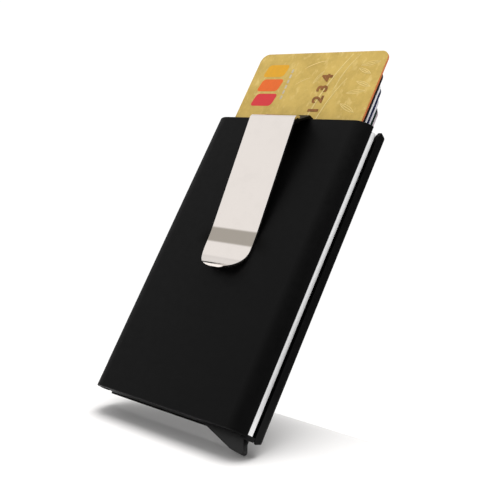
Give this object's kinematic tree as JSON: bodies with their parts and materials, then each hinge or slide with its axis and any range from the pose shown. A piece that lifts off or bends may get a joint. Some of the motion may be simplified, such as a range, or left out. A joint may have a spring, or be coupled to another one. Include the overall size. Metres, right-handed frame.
{
  "type": "minimalist wallet",
  "caption": "Slim pop-up card wallet: flat black metal case with bright side trims, a fan of payment cards raised by a corner trigger, and a sprung money clip on the front.",
  "frame": {"origin": "centre of the flat back face of the rear cover", "axes": "+Z along the length, towards the end where the cards come out; +Y out of the back face, so the clip side faces -Y; +X to the right seen from the front, towards the trigger"},
  "size_m": [0.066, 0.0177, 0.1347],
  "materials": {
    "black_anodised": "matte black anodised aluminium",
    "black_moulding": "fine matte moulded plastic",
    "bright_trim": "satin silver aluminium",
    "tape": "thin double-sided tape",
    "felt": "dense dark felt",
    "dark_steel": "blackened steel",
    "steel_pins": "ground steel",
    "slide_plastic": "natural acetal",
    "trigger_black": "fine matte moulded plastic",
    "arm_plastic": "moulded acetal",
    "polished_steel": "polished stainless spring steel",
    "card_gold": "pearl gold laminate",
    "card_black": "dark brown laminate",
    "card_white": "white laminate",
    "card_navy": "navy laminate",
    "card_lilac": "pale lilac laminate",
    "card_green": "dark green laminate",
    "card_mauve": "pale mauve laminate"
  },
  "bodies": {
    "case": {"front_cover": "black_anodised", "card_case": "black_moulding", "left_trim": "bright_trim", "right_trim": "bright_trim", "rear_cover": "black_anodised", "bond_tape": "tape", "left_friction_strip": "felt", "right_friction_strip": "felt", "clip_bracket": "dark_steel", "bracket_rivets": "steel_pins", "back_screws": "dark_steel", "trigger_pivot_pin": "steel_pins", "ejector_pivot_pin": "steel_pins", "trigger_washer": "slide_plastic"},
    "trigger": {"trigger_lever": "trigger_black"},
    "ejector": {"ejector_arm": "arm_plastic", "drive_pin": "steel_pins"},
    "card_1": {"card_1": "card_gold"},
    "card_2": {"card_2": "card_black"},
    "card_3": {"card_3": "card_white"},
    "card_4": {"card_4": "card_navy"},
    "card_5": {"card_5": "card_lilac"},
    "card_6": {"card_6": "card_green"},
    "card_7": {"card_7": "card_mauve"},
    "clip": {"money_clip": "polished_steel"}
  },
  "joints": [
    {"name": "ejector_pivot", "type": "hinge", "parent": "case", "child": "ejector", "pos_m": [0.022, -0.005, -0.0446], "axis": [0, -1, 0], "range_deg": [0, 48]},
    {"name": "trigger_pivot", "type": "hinge", "parent": "case", "child": "trigger", "pos_m": [0.0132, -0.0033, -0.0488], "axis": [0, -1, 0], "range_deg": [0, 17.5]},
    {"name": "card_1_slide", "type": "slide", "parent": "case", "child": "card_1", "axis": [0, 0, -1], "range_m": [0, 0.0297]},
    {"name": "card_2_slide", "type": "slide", "parent": "case", "child": "card_2", "axis": [0, 0, -1], "range_m": [0, 0.02285]},
    {"name": "card_3_slide", "type": "slide", "parent": "case", "child": "card_3", "axis": [0, 0, -1], "range_m": [0, 0.0192]},
    {"name": "card_4_slide", "type": "slide", "parent": "case", "child": "card_4", "axis": [0, 0, -1], "range_m": [0, 0.0185]},
    {"name": "card_5_slide", "type": "slide", "parent": "case", "child": "card_5", "axis": [0, 0, -1], "range_m": [0, 0.015]},
    {"name": "card_6_slide", "type": "slide", "parent": "case", "child": "card_6", "axis": [0, 0, -1], "range_m": [0, 0.0126]},
    {"name": "card_7_slide", "type": "slide", "parent": "case", "child": "card_7", "axis": [0, 0, -1], "range_m": [0, 0.012]},
    {"name": "clip_flex", "type": "hinge", "parent": "case", "child": "clip", "pos_m": [0, -0.01593, 0.0468], "axis": [-1, 0, 0], "range_deg": [0, 7.5], "stiffness_Nm_per_rad": 2}
  ],
  "couplings": [
    {"joint": "trigger_pivot", "follows": "ejector_pivot", "ratio": 0.36458},
    {"joint": "card_1_slide", "follows": "ejector_pivot", "m_per_rad": 0.035452},
    {"joint": "card_2_slide", "follows": "ejector_pivot", "m_per_rad": 0.027275},
    {"joint": "card_3_slide", "follows": "ejector_pivot", "m_per_rad": 0.022918},
    {"joint": "card_4_slide", "follows": "ejector_pivot", "m_per_rad": 0.022083},
    {"joint": "card_5_slide", "follows": "ejector_pivot", "m_per_rad": 0.017905},
    {"joint": "card_6_slide", "follows": "ejector_pivot", "m_per_rad": 0.01504},
    {"joint": "card_7_slide", "follows": "ejector_pivot", "m_per_rad": 0.014324}
  ]
}
